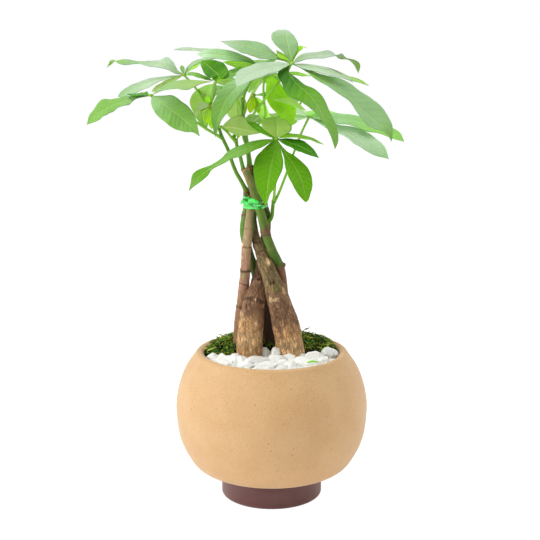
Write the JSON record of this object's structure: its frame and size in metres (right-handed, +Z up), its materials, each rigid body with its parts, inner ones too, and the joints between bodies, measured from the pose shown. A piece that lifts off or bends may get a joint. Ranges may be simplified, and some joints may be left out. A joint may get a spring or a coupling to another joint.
{
  "type": "potted money tree",
  "caption": "Braided money tree with palmate leaves, tied canes, moss and white pebbles, in a round ceramic bowl on a low foot.",
  "frame": {"origin": "centre of the foot's underside, on the table", "axes": "+Z up along the pot's axis; -Y is the front that the picture shows; +X is the picture's right"},
  "size_m": [0.295, 0.2131, 0.4581],
  "materials": {
    "foot_glaze": "dark mauve-brown, satin",
    "pot_ceramic": "sand-coloured unglazed ceramic with fine dark specks, matte",
    "soil": "dark potting soil, rough",
    "white_stone": "white tumbled stone, smooth and matte",
    "moss": "stringy green moss, rough",
    "bark": "brown furrowed bark, matte",
    "green_bark": "smooth green young bark with ring scars",
    "tie_ribbon": "bright green plastic ribbon, glossy",
    "leaf": "satin green leaf with a pale midrib"
  },
  "bodies": {
    "root": {"foot": "foot_glaze", "pot": "pot_ceramic", "soil": "soil", "pebbles": "white_stone", "moss": "moss", "cane_front_left": "bark", "cane_front_right": "bark", "cane_green": "green_bark", "cane_pale": "bark", "cane_back": "green_bark", "tie": "tie_ribbon", "shoot_left": "leaf", "shoot_middle": "leaf", "shoot_top": "leaf", "shoot_front": "leaf", "shoot_back_left": "leaf", "shoot_back_right": "leaf"}
  },
  "joints": []
}
